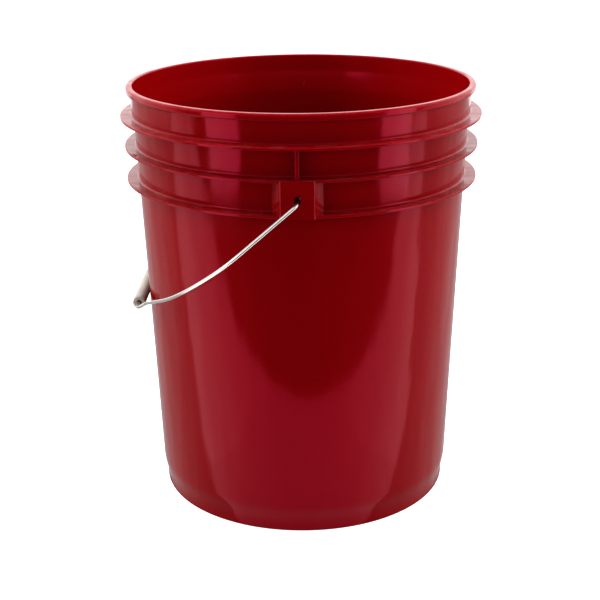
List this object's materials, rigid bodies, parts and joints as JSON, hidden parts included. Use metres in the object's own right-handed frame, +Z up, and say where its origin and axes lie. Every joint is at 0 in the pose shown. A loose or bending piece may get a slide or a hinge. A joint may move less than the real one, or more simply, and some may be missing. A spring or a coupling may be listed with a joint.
{
  "type": "plastic fermenting bucket",
  "caption": "Tapered open-top plastic pail for home brewing, with stacking rings, a lid bead, a hooked wire bail and a loose tubular grip.",
  "frame": {"origin": "centre of the foot ring, on the ground plane", "axes": "+Z up out of the mouth; the two ears and the bail's swing axis lie along Y; the bail hangs on the -X side"},
  "size_m": [0.3128, 0.34, 0.368],
  "materials": {
    "pail": "glossy moulded polyethylene",
    "bail_wire": "bright zinc-plated drawn wire",
    "grip": "satin natural plastic"
  },
  "bodies": {
    "pail": {"pail": "pail"},
    "bail": {"bail_wire": "bail_wire"},
    "grip": {"grip": "grip"}
  },
  "joints": [
    {"name": "bail_swing", "type": "hinge", "parent": "pail", "child": "bail", "pos_m": [0, 0, 0.3], "axis": [0, 1, 0], "range_deg": [0, 260]},
    {"name": "grip_spin", "type": "hinge", "parent": "bail", "child": "grip", "pos_m": [-0.14402, 0, 0.17916], "axis": [0, 1, 0], "continuous": true}
  ]
}
